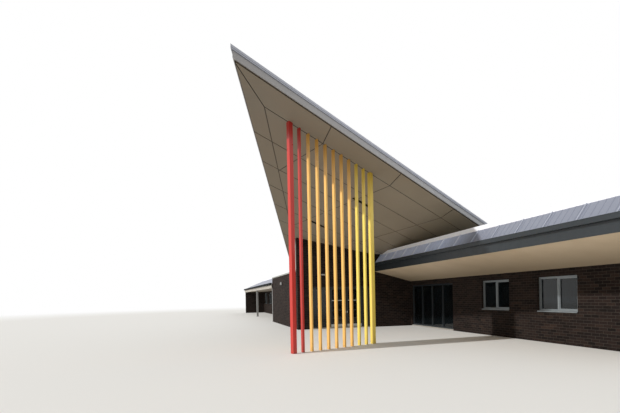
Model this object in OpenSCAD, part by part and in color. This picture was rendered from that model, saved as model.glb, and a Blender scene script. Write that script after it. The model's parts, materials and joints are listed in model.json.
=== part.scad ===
// School building with a raked triangular prow roof over its entry corner, a screen of
// coloured steel posts under the roof's front edge, dark brick walls and two verandahs.
// Plan layout: X runs east along the entry wall and Y runs north. The layout's zero is the
// inside corner where the entry wall meets the wing's eave, and placed() moves the middle of
// the building's footprint to the model's origin at ground level.

/* [Prow roof] */
// Apex of the prow, west of the inside corner
prow_reach_x = 7720; // [6500:20:9000]
// Apex of the prow, south of the inside corner
prow_reach_y = 9980; // [8500:20:11500]
// Height of the prow's lining above the inside corner
prow_corner_h = 3750; // [3700:10:4200]
// Fall of the prow roof along the diagonal
prow_slope = 15.6; // [13:0.1:18]
// Turn of the front edge away from the entry wall's line
front_turn = 24.5; // [20:0.5:28]
// Turn of the side edge away from north
side_turn = 16.8; // [12:0.2:20]
// Depth of the dark shadow gap under the fascia
shadow_h = 36; // [20:2:50]
// Set-back of that gap behind the fascia's face
shadow_set = 30; // [15:1:35]
// Depth of the lower fascia band
prow_fascia_h = 169; // [140:1:200]
// Depth of the upper cap band
prow_cap_h = 105; // [80:5:130]
// Stand-out of the cap beyond the fascia
prow_cap_out = 28; // [15:1:50]
// Drop of the roof sheet below the cap's top
sheet_drop = 40; // [35:1:50]
// Thickness of the fascia boards
prow_board_t = 40; // [25:5:60]
// Width of the lining band along the front edge
front_band_w = 816; // [700:4:900]
// Width of the lining band along the side edge
side_band_w = 513; // [420:3:600]
// Width of the lining sheets behind the bands
lining_sheet_w = 1150; // [900:10:1200]
// Distance from the inner corner of the bands to the first cross joint
first_cross_in = 1900; // [1700:10:2100]
// Distance between the cross joints, measured along the entry wall
lining_joint_step = 2800; // [2400:20:3000]
// Width of the open joints between lining sheets
lining_joint_w = 25; // [10:1:30]
// Depth of those joints
joint_d = 12; // [8:1:14]
// Thickness of the lining sheets
lining_t = 20; // [18:1:30]
// Clearance between the prow's layers where one seats on the next
seat_gap = 0.3; // [0.2:0.1:0.5]

/* [Post screen] */
// Number of posts in the screen
post_count = 11; // [9:1:13]
// Centre distance between posts
post_pitch = 332; // [290:5:360]
// Distance from the apex to the first post, along the front edge
post_start = 2240; // [1900:10:2600]
// Side of the thick square posts at both ends
thick_post_w = 130; // [100:5:150]
// Side of the thin square posts
thin_post_w = 90; // [60:5:100]
// Wall of the post tubes
post_wall = 6; // [4:1:8]
// Thickness of the plate that closes a post's foot
post_foot_t = 12; // [8:1:20]

/* [Walls] */
// Thickness of the brick walls
wall_t = 250; // [200:10:300]
// Thickness of the floor slab
slab_t = 50; // [30:5:100]
// Length of the entry wall west of the inside corner
entry_wall_w = 4000; // [3700:20:4300]
// Head height of doors and full-height glazing
head_h = 2100; // [2040:10:2160]
// Height of the low west wall without its capping
low_wall_h = 2880; // [2750:10:2980]
// Length of the low west wall
low_wall_l = 7600; // [7000:50:8200]
// Set-back of the hall's upper west wall from the low wall
hall_step_x = 400; // [300:10:500]
// North end of the hall's upper west wall
hall_step_y = 3400; // [3000:50:3800]
// Depth of the north verandah
verandah_d = 2000; // [1800:20:2200]
// Depth of the wing's eave
eave_d = 2140; // [1900:20:2300]
// Width of the wing, wall to wall
wing_w = 5860; // [5400:20:6400]
// Length of the wing south of the entry wall
wing_l = 13600; // [12800:50:14400]
// Length of the north block beyond the low wall
north_l = 18400; // [17600:50:18600]

/* [Roofs] */
// Underside of the wing's flat roof deck
deck_under = 3580; // [3540:10:3600]
// Thickness of the flat roof decks
deck_t = 160; // [120:10:180]
// Drop of the north block's deck below the wing's
north_drop = 240; // [200:10:280]
// Set-back of the wing deck's edge behind its fascia
deck_set = 400; // [360:10:480]
// Height of the wing's pale roof strip
strip_h = 170; // [150:5:200]
// Thickness of the pale roof strips
strip_t = 40; // [30:5:60]
// Rise of the wing's strip above its deck
strip_up = 110; // [90:5:130]
// Height of the north block's pale strip, half of it above the deck
north_strip_h = 120; // [80:10:140]
// Top of the wing's gutter
gutter_top = 3270; // [3200:10:3330]
// Width of a gutter
gutter_w = 100; // [90:5:130]
// Depth of a gutter
gutter_d = 130; // [100:5:150]
// Wall of a gutter
gutter_wall = 4; // [3:1:6]
// Underside of the wing's fascia
fascia_under = 2850; // [2800:10:2880]
// Thickness of the fascia boards on the eaves
fascia_t = 25; // [18:1:35]
// Face of the wing's fascia, east of the inside corner
fascia_x = 60; // [50:5:70]
// Lining height where the wing's eave meets its wall
eave_inner_h = 2330; // [2250:10:2400]
// Thickness of the linings under the eaves
eave_lining_t = 18; // [12:1:25]
// Thickness of the sloping roof sheets
skirt_t = 40; // [30:5:60]
// Top of the verandah's gutter
verandah_gutter_top = 2600; // [2580:10:2660]
// Underside of the verandah's fascia
verandah_under = 2240; // [2200:10:2300]
// Top of the verandah roof at its wall
verandah_roof_top = 3440; // [3380:10:3440]
// Thickness of the low block's roof
low_roof_t = 80; // [60:5:100]
// Drop of the low roof below the low wall's top
low_roof_drop = 80; // [60:5:120]
// Thickness of the low wall's capping
low_cap_t = 70; // [50:5:90]
// Overhang of the low wall's capping
low_cap_out = 20; // [10:5:30]

/* [Entry doors] */
// Width of the brick pier west of the doorway
entry_pier_w = 700; // [640:10:760]
// Width of one door leaf's opening
leaf_w = 850; // [800:10:900]
// Width of the fixed light west of the doors
sidelight_w = 900; // [800:10:950]
// Width of the fixed light east of the doors
narrow_light_w = 300; // [250:10:350]
// Face width of frames and mullions
frame_w = 50; // [40:2:60]
// Depth of window and door frames
frame_d = 100; // [80:5:120]
// Thickness of a door leaf
leaf_t = 45; // [40:1:50]
// Clearance round a door leaf
leaf_gap = 6; // [5:0.5:8]
// Clearance between a leaf's heel and its jamb
heel_gap = 0.3; // [0.2:0.1:0.5]
// Distance of the hinge pins in front of the leaf's face
pin_out = 10; // [10:0.5:12]
// Radius of a hinge's knuckles
knuckle_r = 9; // [8:0.5:9]
// Height of one knuckle
knuckle_h = 40; // [30:5:50]
// Thickness of a hinge's plates
hinge_plate_t = 4; // [3:0.5:5]
// Stand-off of the pull handles
pull_out = 55; // [45:5:65]
// Length of the pull handles
pull_l = 400; // [300:10:500]
// Width of a leaf's stiles and top rail
stile_w = 80; // [60:5:100]
// Height of a leaf's bottom rail
kick_h = 160; // [120:10:200]
// Height of the cross bars on a leaf
bar_h = 40; // [30:5:50]
// Thickness of the glass
glass_t = 10; // [6:1:12]

/* [Windows] */
// Sill height of the windows
sill_h = 1000; // [850:10:1100]
// Width of the windows on the wing's verandah side and the ends
small_window_w = 1500; // [1300:20:1700]
// From the entry wall's line to the middle of the wing's first window
wing_window_in = 6500; // [6300:20:6800]
// From the wing's south end to the middle of its last window
wing_window_end = 1500; // [1300:20:1700]
// From each end of the east wall to the middle of its end window
east_window_end = 2100; // [1900:20:2300]
// From each end of the south wall to the middle of its end window
south_window_end = 1600; // [1500:20:1800]
// From each end of the north wall to the middle of its end window
north_window_end = 2000; // [1800:20:2200]
// From each end of the wall under the verandah to the middle of its end window
porch_window_end = 1800; // [1700:20:2000]
// Width of the windows on the east wall and the north verandah
wide_window_w = 1800; // [1600:20:2000]
// Length of the wing's full-height glazing
screen_l = 3690; // [3500:10:3900]
// Brick pier between the entry wall and that glazing
screen_pier = 100; // [80:5:130]

/* [Small pieces] */
// Length of the dark slot lights in the prow lining
slot_l = 1000; // [900:10:1200]
// Width of the dark slot lights
slot_w = 70; // [50:5:90]
// Side of the verandah's posts
verandah_post_w = 150; // [100:5:160]
// Distance of the verandah's second post from the low wall's end
verandah_bay = 8600; // [8200:50:8650]
// Side of the downpipe beside the entry wall
downpipe_w = 75; // [60:5:80]
// Middle of the light on the low wall, along it
wall_light_y = 4250; // [3800:10:4600]
// Width of that light
wall_light_w = 360; // [200:10:400]
// Underside of that light
wall_light_z = 2320; // [2200:10:2400]
// Middle of the light over the doors
entry_light_x = -2680; // [-2800:10:-2500]
// Underside of the light over the doors
entry_light_z = 2660; // [2500:10:2800]

/* [Hidden] */

// Directions of the prow's two free edges and of the line that halves its apex
apex = [-prow_reach_x, -prow_reach_y];
front_dir = [cos(front_turn), sin(front_turn)];
side_dir = [sin(side_turn), cos(side_turn)];
front_in = [-front_dir[1], front_dir[0]];
side_in = [side_dir[1], -side_dir[0]];
apex_half = (90 - front_turn - side_turn) / 2;
bisector = [cos(front_turn + apex_half), sin(front_turn + apex_half)];

// Vertical levels of the prow roof above its lining's plane
fascia_top = shadow_h + prow_fascia_h;
prow_t = fascia_top + prow_cap_h;
sheet_t = 25;
sheet_top = prow_t - sheet_drop;
beam_w = 120;
beam_step = 1200;

// Main lines of the plan
deck_top = deck_under + deck_t;
north_under = deck_under - north_drop;
north_top = deck_top - north_drop;
prow_fall = tan(prow_slope) / sqrt(2);
prow_end = (prow_corner_h + prow_t - north_top) / prow_fall;
west_x = -entry_wall_w;
wing_x = eave_d;
east_x = eave_d + wing_w;
south_y = -wing_l;
low_end_y = low_wall_l;
north_x = west_x + verandah_d;
north_y = low_wall_l + north_l;
hall_x = west_x + hall_step_x;
deck_x = fascia_x + deck_set;
far = 40000;

// Outermost edges, and the middle of the footprint
cap_apex = apex - bisector * (prow_cap_out / sin(apex_half));
mid_x = (cap_apex[0] + east_x + strip_t) / 2;
mid_y = (south_y - strip_t + north_y + strip_t) / 2;

// Doorway, from west to east
frame_x0 = west_x + entry_pier_w;
left_leaf_x = frame_x0 + 2 * frame_w + sidelight_w;
right_leaf_x = left_leaf_x + 2 * leaf_w;
frame_x1 = right_leaf_x + 2 * frame_w + narrow_light_w;
frame_y = (wall_t - frame_d) / 2;

brick = "#3a3432";
glass_tint = "#5b6a72";
charcoal = "#2b3236";
pale = "#cfc6b4";
steel_grey = "#8f9598";
lining_grey = "#8f8a80";
red = "#c8281e";
amber = "#e8a23a";
yellow = "#f0cc30";
post_colours = [red, red, amber, amber, amber, amber, amber, amber, yellow, yellow, yellow];

function spread(from, to, n) = [for (i = [0:n - 1]) from + (to - from) * i / (n - 1)];
function lining_z(p) = prow_corner_h - prow_fall * (p[0] + p[1]);
function edge_at(p, dir, s) = p + dir * ((s - p[0] - p[1]) / (dir[0] + dir[1]));
function prow_points(out, s) =
    let (a = apex - bisector * (out / sin(apex_half)))
    [a, edge_at(a, front_dir, s), edge_at(a, side_dir, s)];
function post_place(i) = apex + front_in * front_band_w + front_dir * (post_start + post_pitch * i);
function post_width(i) = (i == 0 || i == post_count - 1) ? thick_post_w : thin_post_w;
function post_colour(i) = post_colours[round(i * 10 / (post_count - 1))];

module placed() {
    translate([-mid_x, -mid_y, 0]) children();
}

module block(x0, x1, y0, y1, z0, z1) {
    translate([x0, y0, z0]) cube([x1 - x0, y1 - y0, z1 - z0]);
}

module prism(points, z0, z1) {
    translate([0, 0, z0]) linear_extrude(z1 - z0) polygon(points);
}

// A section drawn in X and Z, run along Y
module run_y(section, y0, y1) {
    translate([0, y1, 0]) rotate([90, 0, 0]) linear_extrude(y1 - y0) polygon(section);
}

// The space between two levels measured straight up from the prow lining's plane
module tilted(low, high) {
    squash = cos(prow_slope);
    translate([0, 0, prow_corner_h]) rotate([0, 0, 45]) rotate([0, prow_slope, 0])
        translate([-far, -far, low * squash]) cube([2 * far, 2 * far, (high - low) * squash]);
}

// Where the prow may be: over the wing's deck, and north of the entry wall over the lower deck
module above_deck() {
    block(-far, far, -far, far, deck_top, far);
    block(-far, far, wall_t, far, north_top, deck_top + 1);
}

// Everything that the prow roof takes up, which trims the walls and strips under it
module prow_space() {
    intersection() {
        tilted(0, far);
        above_deck();
    }
}

// A strip of plan that follows both free edges, from one offset to another
module edge_ring(out, inn) {
    linear_extrude(far) difference() {
        polygon(prow_points(out, prow_end));
        polygon(prow_points(inn, prow_end + 1));
    }
}

// The floor fills the space between the walls and the doorways' thresholds
module floor_slab() {
    in_x = wing_x + wall_t;
    in_y = low_end_y - wall_t;
    color("#9a958c") placed() prism([
        [west_x + wall_t, wall_t], [frame_x0, wall_t], [frame_x0, 0], [frame_x1, 0],
        [frame_x1, wall_t], [wing_x, wall_t], [wing_x, 0], [in_x, 0],
        [in_x, screen_y1], [wing_x, screen_y1], [wing_x, screen_y0], [in_x, screen_y0],
        [in_x, south_y + wall_t], [east_x - wall_t, south_y + wall_t],
        [east_x - wall_t, north_y - wall_t], [north_x + wall_t, north_y - wall_t],
        [north_x + wall_t, in_y], [west_x + wall_t, in_y]
    ], 0, slab_t);
}

// Brickwork of the entry wall between two places, up to the prow's lining
module entry_brick(x0, x1, z0) {
    difference() {
        block(x0, x1, 0, wall_t, z0, far / 4);
        prow_space();
    }
}

module entry_wall_left() {
    color(brick) placed() entry_brick(west_x, frame_x0, 0);
}

module entry_wall_head() {
    color(brick) placed() entry_brick(frame_x0, frame_x1, head_h);
}

module entry_wall_right() {
    color(brick) placed() {
        entry_brick(frame_x1, deck_x, 0);
        block(deck_x, wing_x, 0, wall_t, 0, deck_under);
    }
}

// A hole in the entry frame, from one place to another and up from a level
module frame_hole(x0, x1, z0) {
    block(x0, x1, -1, wall_t, z0, head_h - frame_w);
}

hinge_levels = [300, 1070, 1840];
pin_r = 4;
pin_play = 0.3;
plate_reach = 32;

// The jamb's half of a hinge: a knuckle with its pin standing up, and a plate on the jamb
module jamb_hinges() {
    for (z = hinge_levels) {
        translate([0, -pin_out, z]) cylinder(r = knuckle_r, h = knuckle_h, $fn = 32);
        translate([0, -pin_out, z]) cylinder(r = pin_r, h = knuckle_h * 1.75, $fn = 32);
        block(-plate_reach, -0.5, -hinge_plate_t, 0, z, z + knuckle_h);
    }
}

// The leaf's half: a knuckle that sits over the pin, and a plate on the leaf
module leaf_hinges() {
    for (z = hinge_levels) {
        difference() {
            translate([-heel_gap, -pin_out, z + knuckle_h + pin_play])
                cylinder(r = knuckle_r, h = knuckle_h, $fn = 32);
            translate([-heel_gap, -pin_out, z + knuckle_h - 1])
                cylinder(r = pin_r + pin_play, h = knuckle_h + 3, $fn = 32);
        }
        difference() {
            block(0.5, plate_reach, -hinge_plate_t, 0, z + knuckle_h + pin_play,
                z + 2 * knuckle_h + pin_play);
            translate([-heel_gap, -pin_out, z + knuckle_h - 1])
                cylinder(r = pin_r + pin_play, h = knuckle_h + 3, $fn = 32);
        }
    }
}

module entry_frame() {
    color(steel_grey) placed() {
        difference() {
            block(frame_x0, frame_x1, frame_y, frame_y + frame_d, slab_t, head_h);
            frame_hole(frame_x0 + frame_w, left_leaf_x - frame_w, slab_t + frame_w);
            frame_hole(left_leaf_x, right_leaf_x, slab_t - 1);
            frame_hole(right_leaf_x + frame_w, frame_x1 - frame_w, slab_t + frame_w);
        }
        translate([left_leaf_x, frame_y, 0]) jamb_hinges();
        translate([right_leaf_x, frame_y, 0]) mirror([1, 0, 0]) jamb_hinges();
    }
}

module entry_glass() {
    pane_y = frame_y + (frame_d - glass_t) / 2;
    color(glass_tint) placed() {
        block(frame_x0 + frame_w, left_leaf_x - frame_w, pane_y, pane_y + glass_t,
            slab_t + frame_w, head_h - frame_w);
        block(right_leaf_x + frame_w, frame_x1 - frame_w, pane_y, pane_y + glass_t,
            slab_t + frame_w, head_h - frame_w);
    }
}

leaf_z0 = slab_t + leaf_gap;
leaf_z1 = head_h - frame_w - leaf_gap;
leaf_clear = leaf_w - leaf_gap - heel_gap;
bar_levels = [500, 910, 1400];
pull_r = 12;
pull_z = 900;

// A round pull handle on two stubs, near the leaf's free edge
module pull_handle() {
    x = leaf_clear - stile_w / 2;
    translate([x, -pull_out + pull_r, pull_z]) cylinder(r = pull_r, h = pull_l, $fn = 24);
    for (z = [pull_z + 50, pull_z + pull_l - 50])
        translate([x, 0, z]) rotate([90, 0, 0])
            cylinder(r = pull_r - 3, h = pull_out - pull_r, $fn = 24);
}

// One leaf from its hinge edge at x = 0 towards +X, face at y = 0
module leaf_frame() {
    difference() {
        block(0, leaf_clear, 0, leaf_t, leaf_z0, leaf_z1);
        block(stile_w, leaf_clear - stile_w, -1, leaf_t + 1, leaf_z0 + kick_h, leaf_z1 - stile_w);
    }
    for (z = bar_levels)
        block(stile_w, leaf_clear - stile_w, 0, (leaf_t - glass_t) / 2, z - bar_h / 2, z + bar_h / 2);
    leaf_hinges();
    pull_handle();
}

module leaf_glass() {
    block(stile_w, leaf_clear - stile_w, (leaf_t - glass_t) / 2, (leaf_t + glass_t) / 2,
        leaf_z0 + kick_h, leaf_z1 - stile_w);
}

module at_left_leaf() {
    placed() translate([left_leaf_x + heel_gap, frame_y, 0]) children();
}

module at_right_leaf() {
    placed() translate([right_leaf_x - heel_gap, frame_y, 0]) mirror([1, 0, 0]) children();
}

module door_left() {
    color(steel_grey) at_left_leaf() leaf_frame();
}

module door_left_glass() {
    color(glass_tint) at_left_leaf() leaf_glass();
}

module door_right() {
    color(steel_grey) at_right_leaf() leaf_frame();
}

module door_right_glass() {
    color(glass_tint) at_right_leaf() leaf_glass();
}

low_wall_plan = [
    [west_x, wall_t], [west_x + wall_t, wall_t], [west_x + wall_t, low_end_y - wall_t],
    [north_x, low_end_y - wall_t], [north_x, low_end_y], [west_x, low_end_y]
];

module low_wall() {
    color(brick) placed() prism(low_wall_plan, 0, low_wall_h);
}

module cappings() {
    cap_in = wall_t + low_cap_out;
    north_y0 = prow_end - north_x + strip_t;
    color("#e4e2dc") placed() {
        prism([
            [west_x - low_cap_out, wall_t], [west_x + cap_in, wall_t],
            [west_x + cap_in, low_end_y - cap_in], [north_x - strip_t, low_end_y - cap_in],
            [north_x - strip_t, low_end_y + low_cap_out], [west_x - low_cap_out, low_end_y + low_cap_out]
        ], low_wall_h, low_wall_h + low_cap_t);
        difference() {
            block(deck_x - strip_t, deck_x, south_y, 0, strip_z0, strip_z1);
            prow_space();
        }
        block(deck_x - strip_t, east_x + strip_t, south_y - strip_t, south_y, strip_z0, strip_z1);
        block(east_x, east_x + strip_t, south_y, wall_t + strip_t, strip_z0, strip_z1);
        block(prow_end, east_x, wall_t, wall_t + strip_t, north_top, strip_z1);
        block(east_x, east_x + strip_t, wall_t + strip_t, north_y, north_z0, north_z1);
        block(north_x - strip_t, east_x + strip_t, north_y, north_y + strip_t, north_z0, north_z1);
        block(north_x - strip_t, north_x, north_y0, north_y, north_z0, north_z1);
    }
}

module wall_lights() {
    color("#f0eee8") placed() {
        block(west_x - 70, west_x, wall_light_y - wall_light_w / 2, wall_light_y + wall_light_w / 2,
            wall_light_z, wall_light_z + 200);
        block(entry_light_x - 100, entry_light_x + 100, -70, 0, entry_light_z, entry_light_z + 80);
    }
}

module corner_downpipe() {
    pipe_x = west_x - low_cap_out + 4;
    color("#d9d6cc") placed() difference() {
        block(pipe_x, pipe_x + downpipe_w, wall_t, wall_t + downpipe_w, low_wall_h + low_cap_t, far / 4);
        tilted(0, far);
    }
}

// Turns something built along Y so that it runs along X
module along_x() {
    mirror([1, -1, 0]) children();
}

// Windows: each wall has the list of its openings' middles
wing_windows = spread(-wing_window_in, south_y + wing_window_end, 3);
east_windows = spread(south_y + east_window_end, north_y - east_window_end, 11);
south_windows = spread(wing_x + south_window_end, east_x - south_window_end, 2);
north_windows = spread(north_x + north_window_end, east_x - north_window_end, 3);
porch_windows = spread(low_end_y + porch_window_end, north_y - porch_window_end, 6);
screen_y1 = -screen_pier;
screen_y0 = screen_y1 - screen_l;

// Cuts a row of window openings through a wall that runs along Y
module openings_along_y(x, mids, w) {
    for (mid = mids)
        block(x - 1, x + wall_t + 1, mid - w / 2, mid + w / 2, sill_h, head_h);
}

module wing_wall_west() {
    color(brick) placed() difference() {
        block(wing_x, wing_x + wall_t, south_y + wall_t, 0, 0, deck_under);
        block(wing_x - 1, wing_x + wall_t + 1, screen_y0, screen_y1, -1, head_h);
        openings_along_y(wing_x, wing_windows, small_window_w);
    }
}

module wing_wall_south() {
    color(brick) placed() difference() {
        block(wing_x, east_x, south_y, south_y + wall_t, 0, deck_under);
        along_x() openings_along_y(south_y, south_windows, small_window_w);
    }
}

module east_wall() {
    color(brick) placed() difference() {
        union() {
            block(east_x - wall_t, east_x, south_y + wall_t, north_y - wall_t, 0, north_under);
            block(east_x - wall_t, east_x, south_y + wall_t, wall_t, north_under - 1, deck_under);
        }
        openings_along_y(east_x - wall_t, east_windows, wide_window_w);
    }
}

// The north end's wall, and the wall that closes the verandah's far end
module north_wall() {
    color(brick) placed() {
        difference() {
            block(north_x, east_x, north_y - wall_t, north_y, 0, north_under);
            along_x() openings_along_y(north_y - wall_t, north_windows, small_window_w);
        }
        block(west_x, north_x, north_y - wall_t, north_y - fascia_t, 0, verandah_under + 20);
    }
}

module north_wall_west() {
    color(brick) placed() difference() {
        block(north_x, north_x + wall_t, low_end_y - wall_t, north_y - wall_t, 0, north_under);
        openings_along_y(north_x, porch_windows, wide_window_w);
    }
}

low_top = low_wall_h - low_roof_drop;

// The hall's upper wall stands on the low roof and rises to the prow's lining
module hall_wall_west() {
    inner_x = hall_x + wall_t;
    color(brick) placed() {
        prism([
            [hall_x, wall_t], [inner_x, wall_t], [inner_x, hall_step_y - wall_t],
            [north_x + wall_t, hall_step_y - wall_t], [north_x + wall_t, low_end_y - wall_t],
            [north_x, low_end_y - wall_t], [north_x, hall_step_y], [hall_x, hall_step_y]
        ], low_top, north_under);
        difference() {
            block(hall_x, inner_x, wall_t, hall_step_y, north_under, far / 4);
            tilted(0, far);
        }
    }
}

// A frame in a wall that runs along Y, with equal lights
module frame_along_y(x, y0, y1, z0, z1, lights) {
    light_w = (y1 - y0 - (lights + 1) * frame_w) / lights;
    difference() {
        block(x, x + frame_d, y0, y1, z0, z1);
        for (i = [0:lights - 1])
            translate([0, y0 + frame_w + i * (light_w + frame_w), 0])
                block(x - 1, x + frame_d + 1, 0, light_w, z0 + frame_w, z1 - frame_w);
    }
}

module panes_along_y(x, y0, y1, z0, z1, lights) {
    light_w = (y1 - y0 - (lights + 1) * frame_w) / lights;
    pane_x = x + (frame_d - glass_t) / 2;
    for (i = [0:lights - 1])
        translate([0, y0 + frame_w + i * (light_w + frame_w), 0])
            block(pane_x, pane_x + glass_t, 0, light_w, z0 + frame_w, z1 - frame_w);
}

module fill(x, mid, w, z0, lights, panes) {
    if (panes)
        panes_along_y(x, mid - w / 2, mid + w / 2, z0, head_h, lights);
    else
        frame_along_y(x, mid - w / 2, mid + w / 2, z0, head_h, lights);
}

frame_inset = (wall_t - frame_d) / 2;

module wing_lights(panes) {
    for (y = wing_windows)
        fill(wing_x + frame_inset, y, small_window_w, sill_h, 2, panes);
}

// The wing's full-height glazing beside the entry
module screen_lights(panes) {
    fill(wing_x + frame_inset, (screen_y0 + screen_y1) / 2, screen_l, slab_t, 4, panes);
}

module east_lights(panes) {
    for (y = east_windows)
        fill(east_x - wall_t + frame_inset, y, wide_window_w, sill_h, 2, panes);
}

module porch_lights(panes) {
    for (y = porch_windows)
        fill(north_x + frame_inset, y, wide_window_w, sill_h, 2, panes);
}

module south_lights(panes) {
    along_x()
        for (x = south_windows)
            fill(south_y + frame_inset, x, small_window_w, sill_h, 2, panes);
}

module north_lights(panes) {
    along_x()
        for (x = north_windows)
            fill(north_y - wall_t + frame_inset, x, small_window_w, sill_h, 2, panes);
}

module window_frames() {
    color(steel_grey) placed() {
        wing_lights(false);
        east_lights(false);
        porch_lights(false);
        south_lights(false);
        north_lights(false);
    }
}

module screen_frame() {
    color(charcoal) placed() screen_lights(false);
}

module wing_glass() {
    color(glass_tint) placed() {
        wing_lights(true);
        screen_lights(true);
    }
}

module east_glass() {
    color(glass_tint) placed() east_lights(true);
}

module porch_glass() {
    color(glass_tint) placed() porch_lights(true);
}

module end_glass() {
    color(glass_tint) placed() {
        south_lights(true);
        north_lights(true);
    }
}

lining_x = fascia_x + fascia_t;

module wing_soffit() {
    color(pale) placed() run_y([
        [lining_x, fascia_under + 10], [wing_x, eave_inner_h],
        [wing_x, eave_inner_h + eave_lining_t], [lining_x, fascia_under + 10 + eave_lining_t]
    ], south_y, 0);
}

// Open box gutter whose back stands on the line x, from y0 to y1
module gutter(x, y0, y1, top) {
    difference() {
        block(x - gutter_w, x, y0, y1, top - gutter_d, top);
        block(x - gutter_w + gutter_wall, x - gutter_wall, y0 + gutter_wall, y1 - gutter_wall,
            top - gutter_d + gutter_wall, top + 1);
    }
}

skirt_z = gutter_top - 30;
porch_x = west_x - fascia_x;
porch_y0 = low_end_y + low_cap_out;
strip_z0 = deck_top + strip_up - strip_h;
strip_z1 = deck_top + strip_up;
north_z0 = north_top - north_strip_h / 2;
north_z1 = north_top + north_strip_h / 2;

module wing_fascia() {
    color(charcoal) placed() {
        block(fascia_x, lining_x, south_y, 0, fascia_under, skirt_z);
        gutter(fascia_x, south_y - fascia_t, 0, gutter_top);
        run_y([
            [fascia_x, fascia_under], [wing_x, eave_inner_h - 10], [wing_x, deck_under],
            [deck_x - strip_t, strip_z0 + 20 - skirt_t], [fascia_x, skirt_z]
        ], south_y - fascia_t, south_y);
    }
}

module skirt_roof() {
    color("#8793a3") placed() run_y([
        [fascia_x + 10, skirt_z], [deck_x - strip_t, strip_z0 + 20],
        [deck_x - strip_t, strip_z0 + 20 - skirt_t], [fascia_x + 10 + skirt_t, skirt_z]
    ], south_y, 0);
}

module verandah_roof() {
    edge_z = verandah_gutter_top - 40;
    color("#8793a3") placed() run_y([
        [porch_x, edge_z], [north_x, verandah_roof_top],
        [north_x, verandah_roof_top - skirt_t], [porch_x, edge_z - skirt_t]
    ], porch_y0, north_y);
}

module verandah_ceiling() {
    color(pale) placed() block(porch_x + fascia_t, north_x, porch_y0, north_y - fascia_t,
        verandah_under + 20, verandah_under + 20 + eave_lining_t);
}

module verandah_fascia() {
    board_z1 = verandah_gutter_top - 40 - skirt_t;
    color(pale) placed() {
        block(porch_x, porch_x + fascia_t, porch_y0, north_y, verandah_under, board_z1);
        run_y([
            [porch_x + fascia_t, verandah_under], [north_x, verandah_under],
            [north_x, verandah_roof_top - skirt_t], [porch_x, board_z1]
        ], north_y - fascia_t, north_y);
    }
}

module verandah_gutter() {
    color(charcoal) placed() gutter(porch_x, porch_y0, north_y, verandah_gutter_top);
}

// The wing's deck with its step down, and the lower deck of the hall and the north block
module roof_deck() {
    color("#9aa0a3") placed() {
        block(deck_x, east_x, south_y, wall_t, deck_under, deck_top);
        block(wing_x, east_x - wall_t, wall_t - 100, wall_t, north_under, deck_under);
        prism([
            [east_x, wall_t], [east_x, north_y], [north_x, north_y], [north_x, hall_step_y],
            [hall_x + wall_t, hall_step_y], [hall_x + wall_t, wall_t]
        ], north_under, north_top);
    }
}

module low_roof() {
    color("#9aa0a3") placed() prism([
        [west_x + wall_t, wall_t], [hall_x + wall_t, wall_t],
        [hall_x + wall_t, hall_step_y - wall_t], [north_x + wall_t, hall_step_y - wall_t],
        [north_x + wall_t, low_end_y - wall_t], [west_x + wall_t, low_end_y - wall_t]
    ], low_top - low_roof_t, low_top);
}

// Plan of the prow's inner layers, clear of its edge boards
module prow_inner(inset) {
    polygon(prow_points(-prow_board_t - seat_gap - inset, prow_end - inset));
}

module prow_frame() {
    color("#6f7478") placed() intersection() {
        linear_extrude(far) intersection() {
            prow_inner(0);
            union() {
                difference() {
                    prow_inner(0);
                    prow_inner(beam_w);
                }
                for (i = [0:16])
                    translate(apex) rotate(front_turn)
                        translate([-far / 4, front_band_w + i * beam_step]) square([far, beam_w]);
            }
        }
        tilted(lining_t + seat_gap, sheet_top - sheet_t - seat_gap);
        above_deck();
    }
}

module prow_sheet() {
    color("#a9adb0") placed() intersection() {
        linear_extrude(far) prow_inner(0);
        tilted(sheet_top - sheet_t, sheet_top);
        above_deck();
    }
}

module prow_fascia() {
    color("#b9b5ac") placed() intersection() {
        edge_ring(0, -prow_board_t);
        tilted(shadow_h, fascia_top);
        above_deck();
    }
}

module prow_cap() {
    color("#9c9a95") placed() intersection() {
        edge_ring(prow_cap_out, -prow_board_t);
        tilted(fascia_top + seat_gap, prow_t);
        above_deck();
    }
}

// Places of the slot lights: along the front edge from the apex, and in from that edge
slot_places = [[6430, 2460], [6550, 5430]];

module slots() {
    for (p = slot_places)
        translate(apex) rotate(front_turn) translate([p[0], p[1] - slot_w / 2]) square([slot_l, slot_w]);
}

// Joints: a mitre at the apex, bands along both edges, and sheets square to the front edge
module lining_joints() {
    j = lining_joint_w;
    inner = apex + front_in * front_band_w
        + front_dir * ((side_band_w + front_band_w * cos(2 * apex_half)) / sin(2 * apex_half));
    first_cross = inner[0] + first_cross_in;
    translate(apex) rotate(atan2(inner[1] - apex[1], inner[0] - apex[0]))
        translate([-j, -j / 2]) square([norm(inner - apex) + j, j]);
    translate(inner) rotate(front_turn) translate([0, -j / 2]) square([far, j]);
    translate(inner) rotate(90 - side_turn) translate([0, -j / 2]) square([far, j]);
    for (i = [0:5]) {
        cross_x = first_cross + i * lining_joint_step;
        cross_t = (cross_x - inner[0]) / front_dir[0];
        at = inner + front_dir * cross_t;
        translate([at[0] - j / 2, at[1] - 2 * front_band_w]) square([j, 2 * front_band_w]);
        intersection() {
            translate(at) rotate(front_turn + 90) translate([0, -j / 2]) square([far, j]);
            field_area(inner);
        }
    }
    for (i = [1:14])
        intersection() {
            translate(inner) rotate(front_turn)
                translate([-far / 2, i * lining_sheet_w - j / 2]) square([far, j]);
            polygon(prow_points(0, prow_end));
        }
}

module field_area(inner) {
    polygon([inner, inner + front_dir * far, inner + (front_dir + side_dir) * far, inner + side_dir * far]);
}

module soffit_panels() {
    color(lining_grey) placed() difference() {
        intersection() {
            linear_extrude(far) difference() {
                prow_inner(0);
                slots();
            }
            tilted(0, lining_t);
            above_deck();
        }
        intersection() {
            linear_extrude(far) lining_joints();
            tilted(-1, joint_d);
        }
    }
}

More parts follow.
